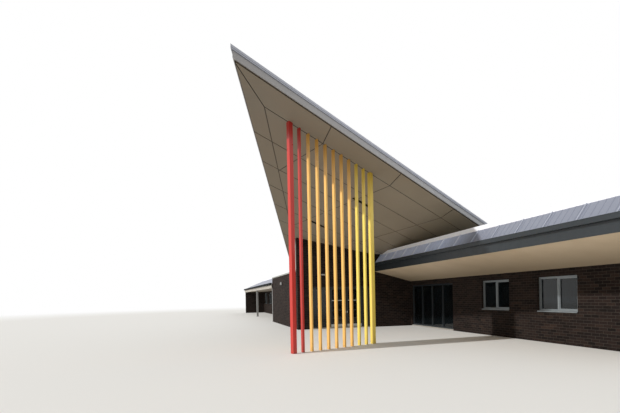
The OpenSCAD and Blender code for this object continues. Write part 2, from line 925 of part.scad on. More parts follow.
// Black recesses: the slot lights, and the shadow gap under the fascia
module dark_recesses() {
    color("#141414") placed() {
        intersection() {
            linear_extrude(far) slots();
            tilted(-3, lining_t);
        }
        intersection() {
            edge_ring(-shadow_set, -prow_board_t);
            tilted(0, shadow_h - seat_gap);
            above_deck();
        }
    }
}

module verandah_posts() {
    w = verandah_post_w;
    color("#a8a59c") placed()
        for (y = [porch_y0, low_end_y + verandah_bay])
            block(west_x, west_x + w, y, y + w, 0, verandah_under + 20);
}

module screen_post(i) {
    w = post_width(i);
    difference() {
        translate(post_place(i)) rotate(front_turn) difference() {
            translate([-w / 2, -w / 2, 0]) cube([w, w, far / 4]);
            translate([-w / 2 + post_wall, -w / 2 + post_wall, post_foot_t])
                cube([w - 2 * post_wall, w - 2 * post_wall, far]);
        }
        tilted(0, far);
    }
}

module posts_of(colour) {
    color(colour) placed()
        for (i = [0:post_count - 1])
            if (post_colour(i) == colour)
                screen_post(i);
}

module red_posts() {
    posts_of(red);
}

module amber_posts() {
    posts_of(amber);
}

module yellow_posts() {
    posts_of(yellow);
}

floor_slab();
entry_wall_left();
entry_wall_head();
entry_wall_right();
entry_frame();
entry_glass();
door_left();
door_left_glass();
door_right();
door_right_glass();
low_wall();
low_roof();
cappings();
wall_lights();
corner_downpipe();
wing_wall_west();
wing_wall_south();
east_wall();
north_wall();
north_wall_west();
hall_wall_west();
window_frames();
screen_frame();
wing_glass();
end_glass();
east_glass();
porch_glass();
wing_soffit();
wing_fascia();
skirt_roof();
roof_deck();
prow_frame();
prow_sheet();
prow_fascia();
prow_cap();
soffit_panels();
dark_recesses();
verandah_roof();
verandah_ceiling();
verandah_fascia();
verandah_gutter();
verandah_posts();
red_posts();
amber_posts();
yellow_posts();
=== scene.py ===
import json
import math
import bmesh
import bpy
from mathutils import Matrix, Vector


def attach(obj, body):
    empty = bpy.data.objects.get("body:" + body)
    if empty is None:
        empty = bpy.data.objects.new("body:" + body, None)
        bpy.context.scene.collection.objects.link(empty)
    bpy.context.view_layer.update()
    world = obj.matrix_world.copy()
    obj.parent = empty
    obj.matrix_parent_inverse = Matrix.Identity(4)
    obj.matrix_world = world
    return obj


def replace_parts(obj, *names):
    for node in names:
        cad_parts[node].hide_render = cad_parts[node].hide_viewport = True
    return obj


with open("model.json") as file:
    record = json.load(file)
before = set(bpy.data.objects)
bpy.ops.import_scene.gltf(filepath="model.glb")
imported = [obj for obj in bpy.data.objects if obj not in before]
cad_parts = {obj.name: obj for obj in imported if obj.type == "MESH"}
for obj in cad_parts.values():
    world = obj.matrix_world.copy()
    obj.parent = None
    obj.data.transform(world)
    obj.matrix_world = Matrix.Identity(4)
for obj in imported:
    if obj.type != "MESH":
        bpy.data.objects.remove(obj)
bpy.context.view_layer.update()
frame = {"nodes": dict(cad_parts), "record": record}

nodes = frame["nodes"]

# The plan's zero is the inside corner of the entry wall and the wing's eave. The frame's origin is the
# middle of the footprint, so the two differ by this much. All lengths are in metres.
MID = Vector((0.137656, 6.2, 0.0))
UP = Vector((0.0, 0.0, 1.0))
ALONG_Y = Vector((0.0, 1.0, 0.0))
OUT_OF_DOORS = Vector((0.0, -1.0, 0.0))

# The plane of the prow's lining: its height over the plan's zero, and its fall along X and along Y
LINING_AT_ZERO = 3.75
LINING_FALL = 0.197438
LINING_AT_MID = LINING_AT_ZERO - LINING_FALL * (MID.x + MID.y)

# The prow's front edge, its tip, and the first band of its lining, which the posts stand under
FRONT_TURN = math.radians(24.5)
FRONT_DIR = Vector((math.cos(FRONT_TURN), math.sin(FRONT_TURN), 0.0))
FRONT_IN = Vector((-FRONT_DIR.y, FRONT_DIR.x, 0.0))
APEX = Vector((-7.72, -9.98, 0.0))
FRONT_BAND = 0.816
FRONT_BAND_AT_MID = (APEX - MID).dot(FRONT_IN) + FRONT_BAND

# The lines that the walls and the deck's west edge stand on, and the roofs' and openings' heights
NORTH_X, WING_X, EAST_X, DECK_X = -2.0, 2.14, 8.0, 0.46
SOUTH_Y, NORTH_Y = -13.6, 26.0
WING_DECK, HALL_DECK, LOW_DECK = 3.74, 3.5, 2.8
SILL, HEAD, FLOOR = 1.0, 2.1, 0.05

# Frames: their face width, the slit that keeps a sash off them, and the hair between bead and rubber
FRAME_W, SLIT, HAIR = 0.05, 0.0005, 0.0002

# Each door leaf's side, its jamb and the way from there to its free edge. Then the gap beside its
# hinges, their heights, and how far the two screws of a plate are from the leaf's or the jamb's edge
LEAVES = (("left", -2.3, 1.0), ("right", -0.6, -1.0))
LEAF_GAP = 0.0003
HINGE_LEVELS = (0.3, 1.07, 1.84)
SCREW_REACHES = (0.010, 0.024)

# Roof sheets: the ribs' spacing, and a deck rib's width at foot and top and its height
RIB_STEP = 0.2
DECK_RIB = (0.052, 0.026, 0.029)


def at(x, y, z):
    """A point of the plan in the frame of the model."""
    return Vector((x, y, z)) - MID


class Value:
    """A number inside a material. Arithmetic on it adds Math nodes."""

    def __init__(self, tree, socket):
        self.tree = tree
        self.socket = socket

    def _math(self, operation, first, second):
        node = self.tree.nodes.new("ShaderNodeMath")
        node.operation = operation
        for place, item in enumerate((first, second)):
            if isinstance(item, Value):
                self.tree.links.new(item.socket, node.inputs[place])
            elif item is not None:
                node.inputs[place].default_value = item
        return Value(self.tree, node.outputs[0])

    def __add__(self, other):
        return self._math("ADD", self, other)

    def __radd__(self, other):
        return self._math("ADD", other, self)

    def __sub__(self, other):
        return self._math("SUBTRACT", self, other)

    def __rsub__(self, other):
        return self._math("SUBTRACT", other, self)

    def __mul__(self, other):
        return self._math("MULTIPLY", self, other)

    def __rmul__(self, other):
        return self._math("MULTIPLY", other, self)

    def __gt__(self, other):
        return self._math("GREATER_THAN", self, other)

    def __abs__(self):
        return self._math("ABSOLUTE", self, None)

    def or_more(self, other):
        """The larger of this number and another."""
        return self._math("MAXIMUM", self, other)


def colour(code):
    """The linear colour of a web colour code."""
    parts = [int(code[place:place + 2], 16) / 255 for place in (1, 3, 5)]
    return tuple(p / 12.92 if p <= 0.04045 else ((p + 0.055) / 1.055) ** 2.4 for p in parts) + (1.0,)


class Finish:
    """A material with one Principled shader, and the nodes that feed it."""

    def __init__(self, name, **shader):
        self.material = bpy.data.materials.new(name)
        self.material.use_nodes = True
        self.tree = self.material.node_tree
        self.shader = self.tree.nodes["Principled BSDF"]
        self.output = self.tree.nodes["Material Output"]
        self.set(**shader)
        self.places = self.node("ShaderNodeTexCoord", out="Object")

    def put(self, socket, value):
        """Links a value to a socket, or sets the socket to a number or a web colour code."""
        if isinstance(value, Value):
            self.tree.links.new(value.socket, socket)
        elif isinstance(value, str):
            socket.default_value = colour(value)
        else:
            socket.default_value = value

    def set(self, **sockets):
        """Sets or links the shader's sockets, named with _ for a space, and gives the material."""
        for key, value in sockets.items():
            self.put(self.shader.inputs[key.replace("_", " ")], value)
        return self.material

    def node(self, kind, settings=None, sockets=None, out=0):
        """Adds a node with these settings and inputs, and gives one of its outputs."""
        made = self.tree.nodes.new(kind)
        for key, value in (settings or {}).items():
            if key == "stops":
                ramp = made.color_ramp
                for stop, (place, shade) in enumerate(value):
                    point = ramp.elements[stop] if stop < 2 else ramp.elements.new(place)
                    point.position = place
                    point.color = colour(shade)
            else:
                setattr(made, key, value)
        for key, value in (sockets or {}).items():
            self.put(made.inputs[key], value)
        return Value(self.tree, made.outputs[out])

    def noise(self, scale, detail=2.0, rough=0.5, stretch=None):
        """Cloudy noise, finer with a larger scale."""
        where = self.places
        if stretch:
            where = self.node("ShaderNodeMapping", None, {"Vector": where, "Scale": stretch})
        return self.node("ShaderNodeTexNoise", None,
                         {"Vector": where, "Scale": scale, "Detail": detail, "Roughness": rough})

    def blend(self, factor, first, second):
        """The first colour where the factor is 0, turning into the second at 1."""
        return self.node("ShaderNodeMix", {"data_type": "RGBA", "clamp_factor": True},
                         {0: factor, 6: first, 7: second}, out=2)

    def span(self, value, low, high, to_low=0.0, to_high=1.0):
        """The value's place between low and high, as a number between to_low and to_high."""
        return self.node("ShaderNodeMapRange", {"clamp": True},
                         {"Value": value, "From Min": low, "From Max": high,
                          "To Min": to_low, "To Max": to_high})

    def split(self, vector):
        """The vector's parts along X, Y and Z."""
        made = self.tree.nodes.new("ShaderNodeSeparateXYZ")
        self.tree.links.new(vector.socket, made.inputs[0])
        return [Value(self.tree, made.outputs[place]) for place in range(3)]

    def facing(self):
        """How much the surface faces along X, Y and Z."""
        return [abs(part) for part in self.split(self.node("ShaderNodeTexCoord", out="Normal"))]

    def bump(self, height, strength, distance):
        return self.node("ShaderNodeBump", None,
                         {"Height": height, "Strength": strength, "Distance": distance})


def face_brick():
    """Dark charcoal-brown face brick in stretcher bond, 240 by 86 mm with raked joints."""
    f = Finish("face_brick", Specular_IOR_Level=0.1)
    x, y, z = f.split(f.places)
    to_side, _, to_sky = f.facing()
    run = x + (y - x) * (to_side > 0.5)
    up = z + (y - z) * (to_sky > 0.5)
    wall = f.node("ShaderNodeTexBrick", {"offset": 0.5},
                  {"Vector": f.node("ShaderNodeCombineXYZ", None, {0: run, 1: up}),
                   "Color1": (1, 1, 1, 1), "Color2": (0, 0, 0, 1), "Mortar": (0.5, 0.5, 0.5, 1),
                   "Scale": 1.0, "Mortar Size": 0.005, "Mortar Smooth": 0.15, "Bias": 0.0,
                   "Brick Width": 0.24, "Row Height": 0.086})
    joint = Value(f.tree, wall.socket.node.outputs["Fac"])
    each = f.node("ShaderNodeValToRGB",
                  {"stops": [(0.0, "#17120f"), (0.25, "#241b18"), (0.5, "#2e231e"), (0.75, "#1d1715"),
                             (1.0, "#382b24")]}, {"Fac": wall})
    mottle = f.noise(38.0, 4.0, 0.6)
    clay = f.blend(f.span(mottle, 0.35, 0.75, 0.0, 0.55), each, "#161211")
    bloom = f.span(f.noise(1.1, 3.0, 0.6), 0.5, 0.85, 0.0, 0.12)
    clay = f.blend(bloom, clay, "#4b403a")
    mortar = f.blend(f.span(f.noise(60.0), 0.3, 0.7), "#3b3632", "#4a443e")
    height = (1 - joint) * 0.8 + mottle * 0.12 + f.noise(150.0) * 0.06
    return f.set(Base_Color=f.blend(joint, clay, mortar),
                 Roughness=f.span(mottle, 0.2, 0.8, 0.75, 0.95), Normal=f.bump(height, 0.9, 0.006))


def trowelled_concrete():
    """Grey floor concrete with soft clouds and a fine grain."""
    f = Finish("trowelled_concrete")
    cloud = f.noise(1.7, 5.0, 0.6)
    grain = f.noise(90.0, 3.0)
    shade = f.blend(f.span(cloud, 0.3, 0.7), "#8d887f", "#a5a097")
    return f.set(Base_Color=f.blend(f.span(grain, 0.55, 0.8, 0.0, 0.35), shade, "#77726a"),
                 Roughness=f.span(grain, 0.2, 0.8, 0.65, 0.85), Normal=f.bump(grain, 0.25, 0.002))


def sheet_tone(f, shade, darker, streak):
    """Rain streaks and dust on painted sheet metal, and the dust's own value."""
    streaks = f.noise(1.0, 4.0, 0.55, stretch=(9.0, 9.0, 0.7))
    dust = f.noise(6.0, 5.0, 0.65)
    tone = f.blend(f.span(streaks, 0.42, 0.78, 0.0, streak), shade, darker)
    return f.blend(f.span(dust, 0.5, 0.85, 0.0, streak * 0.5), tone, darker), dust


def sheet_flutter(f):
    """The slight waviness of a thin sheet."""
    return f.noise(0.9, 2.0, 0.4)


def coat_sheet(f, shade, darker, roughness, streak):
    """Factory paint on sheet metal: faint rain streaks, dust and a slight flutter of the sheet."""
    tone, dust = sheet_tone(f, shade, darker, streak)
    return f.set(Base_Color=tone,
                 Roughness=f.span(dust, 0.3, 0.75, roughness - 0.06, roughness + 0.12),
                 Normal=f.bump(sheet_flutter(f) + f.noise(220.0) * 0.004, 0.35, 0.01))


def painted_sheet(name, shade, darker, roughness=0.42, streak=0.25, gloss=0.5):
    """Painted sheet of one tone."""
    return coat_sheet(Finish(name, Specular_IOR_Level=gloss), shade, darker, roughness, streak)


def changing_sheet(name, axis, start, end, first, last, darker):
    """Painted sheet whose tone shifts along one axis."""
    f = Finish(name)
    place = f.split(f.places)[axis] + f.noise(0.6, 2.0) * 0.9 - 0.45
    return coat_sheet(f, f.blend(f.span(place, start, end), first, last), darker, 0.42, 0.2)


def edge_capping():
    """Near-white folded strip round the flat roofs, and a greyer capping on the low wall."""
    f = Finish("capping_paint")
    height = f.split(f.places)[2]
    shade = f.blend(f.span(height, 3.0, 3.3), "#93938b", "#f8f8fc")
    tone, dust = sheet_tone(f, shade, "#8f8f8c", 0.08)
    return f.set(Base_Color=tone, Roughness=f.span(dust, 0.3, 0.75, 0.36, 0.5),
                 Normal=f.bump(sheet_flutter(f), 0.3, 0.01))


def lining_level(f):
    """How far a point stands above the plane of the prow's lining."""
    x, y, z = f.split(f.places)
    return z - LINING_AT_MID + LINING_FALL * (x + y)


def folded_cap():
    """The prow's cap: painted sheet with painted shadow under a drip fold at its foot and painted
    shade in a lapped fold above.
    """
    f = Finish("prow_cap_paint")
    from_tip = f.span(f.split(f.places)[0], -7.8, -4.5)
    tone, dust = sheet_tone(f, f.blend(from_tip, "#b4b7c2", "#c8ccda"), "#a4a7b3", 0.2)
    level = lining_level(f)
    # painted shade: dark lines along the lapped fold and under the cap's foot
    fold_groove_shade = f.span(abs(level - 0.2405), 0.004, 0.008, 0.85, 0.0)
    foot = f.span(level, 0.206, 0.211, 0.6, 0.0)
    return f.set(Base_Color=f.blend(fold_groove_shade + foot, tone, "#3f4046"),
                 Roughness=f.span(dust, 0.3, 0.75, 0.36, 0.52),
                 Normal=f.bump(sheet_flutter(f) - fold_groove_shade * 0.3, 0.35, 0.01))


def post_paint(name, shade, deep, painted_shade, foot):
    """Enamel on steel: painted shade, deeper near the top where the roof shades it, with splash dirt
    near the ground.
    """
    f = Finish(name, Coat_Weight=0.15, Coat_Roughness=0.15)
    height = f.split(f.places)[2]
    skin = f.noise(160.0, 2.0, 0.4)
    wide = f.noise(2.3, 3.0, 0.5, stretch=(1.0, 1.0, 0.35))
    splash = f.span(height + f.noise(14.0, 3.0) * 0.35, 0.2, 0.5, 0.55, 0.0)
    tone = f.blend(f.span(wide, 0.35, 0.75, 0.0, 0.4), shade, deep)
    # painted shade: the paint turns to the deeper third colour towards the lining, where the roof
    # shades the post
    tone = f.blend(f.span(lining_level(f), -1.3, -0.02), tone, painted_shade)
    return f.set(Base_Color=f.blend(splash * f.span(f.noise(45.0, 4.0), 0.35, 0.7), tone, foot),
                 Roughness=f.span(wide, 0.3, 0.7, 0.26, 0.4), Normal=f.bump(skin, 0.12, 0.001))


def lining_board():
    """Compressed sheet lining: matt warm grey, darker towards the tip as painted shade, dark in its
    joints.
    """
    f = Finish("lining_board")
    x, y, _ = f.split(f.places)
    cloud = f.noise(0.8, 4.0, 0.55)
    fleck = f.noise(120.0, 3.0, 0.6)
    # painted shade: the lining darkens towards the tip
    painted_shade = f.span(x + f.noise(0.5, 2.0) * 0.8, -6.8, 1.2)
    tone = f.blend(painted_shade, "#796f60", "#a3957f")
    tone = f.blend(f.span(cloud, 0.3, 0.72, 0.0, 0.35), tone, "#857866")
    tone = f.blend(f.span(fleck, 0.55, 0.8, 0.0, 0.18), tone, "#6d6153")
    inward = y * FRONT_IN.y + x * FRONT_IN.x - FRONT_BAND_AT_MID
    joint = f.blend(f.span(inward, 0.02, 0.04), "#2a231c", "#443b31")
    return f.set(Base_Color=f.blend(f.span(lining_level(f), 0.001, 0.003), tone, joint),
                 Roughness=f.span(fleck, 0.2, 0.8, 0.6, 0.78), Normal=f.bump(fleck, 0.15, 0.001))


def dark_slot():
    """Painted shade: black inside the slot lights, and brown on the recess under the fascia."""
    f = Finish("dark_slot", Specular_IOR_Level=0.1)
    fine = f.noise(90.0)
    # painted shade: black on downward faces for the dark inside of the slot lights, brown on the
    # shaded recess faces
    black = f.blend(f.span(fine, 0.3, 0.7), "#040404", "#0a0a0a")
    brown = f.blend(f.span(fine, 0.3, 0.7), "#4a4035", "#544a3d")
    return f.set(Base_Color=f.blend(f.facing()[2] > 0.5, brown, black),
                 Roughness=f.span(fine, 0.2, 0.8, 0.4, 0.6))


def plaster_lining(name, shade, darker, painted_shade_inward=None):
    """Painted lining sheet; under the eave it is darker towards the wall, as painted shade."""
    f = Finish(name)
    cloud = f.noise(1.3, 4.0, 0.5)
    fine = f.noise(140.0)
    tone = f.blend(f.span(cloud, 0.3, 0.75), shade, darker)
    if painted_shade_inward:
        # painted shade: darker towards the wall
        tone = f.blend(f.span(f.split(f.places)[0], 0.1, 1.7), tone, painted_shade_inward)
    return f.set(Base_Color=tone, Roughness=f.span(fine, 0.2, 0.8, 0.5, 0.65),
                 Normal=f.bump(fine, 0.1, 0.001))


def frame_alloy(name, shade, darker, metallic, low, high, screen=None):
    """Powder-coated or satin aluminium with a fine drawn grain, darker in the glazed screen."""
    f = Finish(name, Metallic=metallic)
    brushed = f.noise(1.0, 3.0, 0.6, stretch=(6.0, 6.0, 80.0))
    tone = f.blend(f.span(brushed, 0.3, 0.7), shade, darker)
    if screen:
        x, y, _ = f.split(f.places)
        in_screen = f.span(abs(x - 2.1), 0.3, 0.32, 1.0, 0.0) * f.span(y, -10.3, -10.2)
        tone = f.blend(in_screen, tone, screen)
    return f.set(Base_Color=tone, Roughness=f.span(brushed, 0.3, 0.7, low, high),
                 Normal=f.bump(brushed, 0.05, 0.001))


def window_pane():
    """Dark tinted glass with a faint film of dust."""
    f = Finish("window_pane", Base_Color="#2e383c", Transmission_Weight=0.85, IOR=1.45,
               Specular_IOR_Level=0.3)
    film = f.noise(3.0, 4.0, 0.6)
    return f.set(Roughness=f.span(film, 0.35, 0.8, 0.02, 0.07),
                 Normal=f.bump(f.noise(0.7), 0.03, 0.01))


def plain_skin(name, grain, shade, other, low, high, depth):
    """Rubber or moulded plastic: two close tones in a fine grain."""
    f = Finish(name)
    fine = f.noise(grain)
    return f.set(Base_Color=f.blend(f.span(fine, 0.3, 0.7), shade, other),
                 Roughness=f.span(fine, 0.2, 0.8, low, high), Normal=f.bump(fine, depth, 0.0005))


BRICK = face_brick()
CONCRETE = trowelled_concrete()
WINDOW_FRAME = frame_alloy("satin_frame", "#8c9295", "#7b8184", 0.35, 0.32, 0.45, "#1c1f21")
DOOR_FRAME = frame_alloy("charcoal_frame", "#2b2e30", "#1f2224", 0.1, 0.38, 0.5)
BRIGHT_TRIM = frame_alloy("bright_trim", "#c9ccc8", "#adb1ad", 0.5, 0.25, 0.36)
PANE = window_pane()
RUBBER = plain_skin("black_rubber", 180.0, "#141415", "#222223", 0.6, 0.8, 0.1)
LAMP = plain_skin("lamp_cover", 60.0, "#bdbab6", "#aaa7a2", 0.35, 0.5, 0.05)
# painted shade: the third tone darkens the eave lining towards the wall
EAVE_LINING = plaster_lining("eave_lining_paint", "#d8c3a6", "#ccb698", "#ab997f")
# painted shade: the verandah ceiling is a darker copy of the pale lining
PORCH_LINING = plaster_lining("porch_lining_paint", "#9a8d7b", "#8a7d6b")
PORCH_BOARD = plaster_lining("porch_board_paint", "#b3aca1", "#a19a8e")
PROW_LINING = lining_board()
PROW_FASCIA = changing_sheet("prow_fascia_paint", 0, -7.8, -1.0, "#a3a1a1", "#c5c5c7", "#9a9897")
PROW_CAP = folded_cap()
GUTTER = painted_sheet("charcoal_gutter", "#2a3034", "#1d2225", 0.38)
# painted light: the skirt and its seams are paler under the prow, where they lie in shade, and darker
# further south, where the sun falls on them
SKIRT = changing_sheet("skirt_sheet", 1, -14.2, -12.0, "#7d818e", "#ccd8f4", "#7f8390")
SEAM = changing_sheet("skirt_seam", 1, -14.2, -12.0, "#a4a8b4", "#eef3ff", "#a4a8b3")
# painted light: the verandah roof is made paler so that its shaded rib sides read bright
PORCH_ROOF = painted_sheet("porch_roof_sheet", "#babcc6", "#9a9ca4")
# painted shade: a darker, matt copy of the charcoal gutter paint for the verandah's gutter
PORCH_GUTTER = painted_sheet("porch_gutter_paint", "#121517", "#0c0e10", 0.7, 0.2, 0.08)
DECK = painted_sheet("deck_sheet", "#a2a7a9", "#8a8f92", 0.5)
CAPPING = edge_capping()
STEEL = painted_sheet("primed_steel", "#75797d", "#5f6366", 0.55)
PIPE = painted_sheet("pipe_paint", "#dad6cc", "#bdb9af", 0.45)
VERANDAH_POST = painted_sheet("verandah_post_paint", "#8f8e8b", "#787774", 0.45)
SLOT = dark_slot()
# painted shade: each post paint's third colour is the deeper tone painted in near the lining
RED = post_paint("red_enamel", "#cc3226", "#b42a20", "#a1211a", "#7d4034")
AMBER = post_paint("amber_enamel", "#fbc56c", "#eeb050", "#b8873a", "#a0763f")
YELLOW = post_paint("yellow_enamel", "#fbdd68", "#ecca4c", "#c2a136", "#a08a45")

FINISH_OF = {
    "brick": BRICK, "concrete": CONCRETE, "frame": WINDOW_FRAME, "glass": PANE,
    "pale_lining": EAVE_LINING, "prow_lining": PROW_LINING, "prow_fascia": PROW_FASCIA,
    "prow_cap": PROW_CAP, "gutter": GUTTER, "roof_metal": SKIRT, "roof_deck": DECK,
    "capping": CAPPING, "structure": STEEL, "light": LAMP, "dark_slot": SLOT, "downpipe": PIPE,
    "post_grey": VERANDAH_POST, "red": RED, "amber": AMBER, "yellow": YELLOW,
}
FINISH_OF_NODE = {
    "entry_frame": DOOR_FRAME, "door_left": DOOR_FRAME, "door_right": DOOR_FRAME,
    "verandah_roof": PORCH_ROOF, "verandah_ceiling": PORCH_LINING, "verandah_fascia": PORCH_BOARD,
    "verandah_gutter": PORCH_GUTTER,
}

for part in frame["record"]["subparts"]:
    solid = nodes[part["node"]]
    solid.data.materials.clear()
    solid.data.materials.append(FINISH_OF_NODE.get(part["node"], FINISH_OF[part["material_slot"]]))


class Making:
    """The shapes of one piece, given in plan metres and kept in one mesh."""

    def __init__(self):
        self.shape = bmesh.new()

    def soften(self, corners, width, segments=1):
        """Bevels every edge that meets these corners."""
        edges = list(dict.fromkeys(edge for corner in corners for edge in corner.link_edges))
        bmesh.ops.bevel(self.shape, geom=edges, offset=width, offset_type="OFFSET",
                        segments=segments, profile=0.5, affect="EDGES", material=-1,
                        clamp_overlap=True)

    def push(self, faces, travel, soft):
        """Pushes flat faces along a straight line into a solid."""
        starts = list(dict.fromkeys(corner for face in faces for corner in face.verts))
        grown = bmesh.ops.extrude_face_region(self.shape, geom=faces)["geom"]
        moved = [item for item in grown if isinstance(item, bmesh.types.BMVert)]
        bmesh.ops.translate(self.shape, verts=moved, vec=Vector(travel))
        if soft:
            self.soften(starts + moved, soft)
        return self

    def outlined(self, points):
        """A flat face with these corners."""
        return self.shape.faces.new([self.shape.verts.new(at(*point)) for point in points])

    def block(self, low, high, soft, segments=1):
        """A box between two corners, with its edges softened by this much."""
        low, high = Vector(low), Vector(high)
        size = Matrix.Diagonal((*(high - low), 1.0))
        middle = Matrix.Translation(at(*((low + high) / 2)))
        made = bmesh.ops.create_cube(self.shape, size=1.0, matrix=middle @ size)["verts"]
        if soft:
            self.soften(made, soft, segments)
        return self

    def drawn(self, outline, travel, soft=0.0):
        """A flat outline pushed along a straight line."""
        return self.push([self.outlined(outline)], travel, soft)

    def rod(self, start, end, radius, segments, end_radius=None):
        """A round bar, or a cone where the far end has its own radius."""
        start, end = at(*start), at(*end)
        along = end - start
        turn = UP.rotation_difference(along).to_matrix().to_4x4()
        bmesh.ops.create_cone(self.shape, cap_ends=True, segments=segments, radius1=radius,
                              radius2=radius if end_radius is None else end_radius,
                              depth=along.length,
                              matrix=Matrix.Translation((start + end) / 2) @ turn)
        return self

    def ring(self, corners, width, travel, soft=0.0015):
        """A frame: a flat four-sided outline with its middle taken out, pushed along a line."""
        face = self.outlined(corners)
        face.normal_update()
        rim = bmesh.ops.inset_individual(self.shape, faces=[face], thickness=width,
                                         use_even_offset=True)["faces"]
        bmesh.ops.delete(self.shape, geom=[face], context="FACES_ONLY")
        return self.push(rim, travel, soft)

    def rows(self, count, step):
        """Repeats everything made so far along a line."""
        first = self.shape.verts[:] + self.shape.edges[:] + self.shape.faces[:]
        for place in range(1, count):
            copied = bmesh.ops.duplicate(self.shape, geom=first)["geom"]
            corners = [item for item in copied if isinstance(item, bmesh.types.BMVert)]
            bmesh.ops.translate(self.shape, verts=corners, vec=Vector(step) * place)
        return self

    def done(self, name, finish, slot, body="building"):
        """The finished piece, on its body and with its slot."""
        bmesh.ops.recalc_face_normals(self.shape, faces=self.shape.faces)
        mesh = bpy.data.meshes.new(name)
        self.shape.to_mesh(mesh)
        self.shape.free()
        mesh.materials.append(finish)
        piece = bpy.data.objects.new(name, mesh)
        bpy.context.scene.collection.objects.link(piece)
        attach(piece, body)
        return piece


def rib_outline(foot, across, out, base, top, height):
    """A rib's section: a low trapezoid on a sheet, round the point where it stands."""
    foot, across, out = Vector(foot), Vector(across), Vector(out)
    low = foot - out * 0.001
    return [low - across * base / 2, low + across * base / 2,
            foot + across * top / 2 + out * height, foot - across * top / 2 + out * height]


def slope_out(rise):
    """The direction square to a sheet that rises along X."""
    return Vector((-rise.z, 0.0, rise.x)).normalized()


def make_skirt_sheet():
    """The steep skirt over the wing's eave: pan ribs and tall folded seams a metre apart."""
    foot, top = Vector((0.072, 0.0, 3.2427)), Vector((0.418, 0.0, 3.6974))
    rise = top - foot
    for name, finish, start, step, count, section, soft in (
            ("skirt_pan_ribs", SKIRT, -13.45, RIB_STEP, 67, (0.030, 0.016, 0.008), 0.0),
            ("skirt_tall_seams", SEAM, -12.95, 1.0, 13, (0.036, 0.022, 0.032), 0.003)):
        outline = rib_outline(foot + ALONG_Y * start, ALONG_Y, slope_out(rise), *section)
        made = Making().drawn(outline, rise, soft)
        made.rows(count, ALONG_Y * step).done(name, finish, "roof_metal")


def make_verandah_sheet():
    """The north verandah's roof sheet: ribs down the fall and folds along both ends."""
    foot, top = Vector((-4.055, 0.0, 2.5622)), Vector((-2.045, 0.0, 3.4208))
    rise = top - foot
    out = slope_out(rise)
    ribs = Making()
    ribs.drawn(rib_outline(foot + ALONG_Y * 7.78, ALONG_Y, out, 0.050, 0.024, 0.024), rise)
    ribs.rows(91, ALONG_Y * RIB_STEP).done("verandah_roof_ribs", PORCH_ROOF, "roof_metal")
    wide, high = ALONG_Y * 0.040, out * 0.034
    folds = Making()
    for end in (7.622, 25.95):
        start = foot + ALONG_Y * end - out * 0.001
        folds.drawn([start, start + wide, start + wide + high, start + high], rise, 0.003)
    folds.done("verandah_barge_folds", CAPPING, "capping")


def make_deck_sheets():
    """Roofing over the wing, the hall and the low block: ribs across, stopped clear of the prow."""
    edge, beside_prow, shortest = 0.03, 0.14, 0.37
    wing_trim, hall_trim = 1.62, 2.98
    low_start, low_first, low_count = -3.72, 3.52, 19
    ribs = Making()

    def rib(start, end, y, z):
        ribs.drawn(rib_outline((start, y, z), ALONG_Y, UP, *DECK_RIB), (end - start, 0.0, 0.0))

    def wing_start(y):
        prow_edge = APEX.x + (y - APEX.y) / math.tan(FRONT_TURN)
        return max(DECK_X + edge, min(prow_edge, wing_trim - y) + beside_prow)

    def hall_start(y):
        return max(NORTH_X + edge, hall_trim - y)

    for row in range(low_count):
        rib(low_start, NORTH_X - edge, low_first + RIB_STEP * row, LOW_DECK)
    for level, start_at, first, last in ((WING_DECK, wing_start, SOUTH_Y + 0.12, 0.15),
                                         (HALL_DECK, hall_start, 0.42, NORTH_Y - 0.08)):
        for row in range(math.ceil((last - first) / RIB_STEP)):
            y = first + RIB_STEP * row
            start, end = start_at(y), EAST_X - edge
            if end - start > shortest:
                rib(start, end, y, level)
    ribs.done("deck_sheet_ribs", DECK, "roof_deck")


def make_prow_sheet():
    """Ribs on the prow's own sheet, which run down its fall to the building.

    A rib keeps one gap, x - y, and runs from the prow's edge, where x + y is its start, to the deck.
    """
    along = Vector((1.0, 1.0, -2.0 * LINING_FALL))
    across = Vector((1.0, -1.0, 0.0)).normalized()
    out = Vector((LINING_FALL, LINING_FALL, 1.0)).normalized()
    step, front_slope, side_slope, off_edge = 0.283, 2.6746, 1.8650, 0.36
    wing_end, hall_end, wing_north_y, shortest, sheet_top = 1.34, 2.55, 0.2, 0.25, 0.2702
    ribs = Making()
    for place in range(-37, 26):
        away = place * step
        gap = APEX.x - APEX.y + away
        start = APEX.x + APEX.y + abs(away) * (front_slope if away > 0 else side_slope) + off_edge
        for end, over_wing in ((wing_end, True), (hall_end, False)):
            if ((end - gap) / 2 < wing_north_y) == over_wing and end > start + shortest:
                foot = ((start + gap) / 2, (start - gap) / 2,
                        LINING_AT_ZERO - LINING_FALL * start + sheet_top)
                ribs.drawn(rib_outline(foot, across, out, 0.056, 0.028, 0.026),
                           along * ((end - start) / 2))
                break
    ribs.done("prow_sheet_ribs", DECK, "roof_deck")


def make_gutter_trim():
    """Rolled front edges on both gutters, and straps across them."""
    # Name, finish, the bead's x and height, its two ends, and the straps' first place and number
    gutters = (("wing", GUTTER, -0.036, 3.264, -13.62, -0.01, -13.2, 12),
               ("verandah", PORCH_GUTTER, -4.156, 2.594, 7.63, 25.99, 8.2, 16))
    for name, finish, x, z, south, north, _, _ in gutters:
        bead = Making().rod((x, south, z), (x, north, z), 0.010, 12)
        bead.done(name + "_gutter_bead", finish, "gutter")
    for name, finish, x, z, _, _, first, count in gutters:
        strap = Making().block((x + 0.006, first, z + 0.0065),
                               (x + 0.096, first + 0.03, z + 0.0095), 0.0008)
        strap.rows(count, ALONG_Y * 1.15).done(name + "_gutter_straps", finish, "gutter")


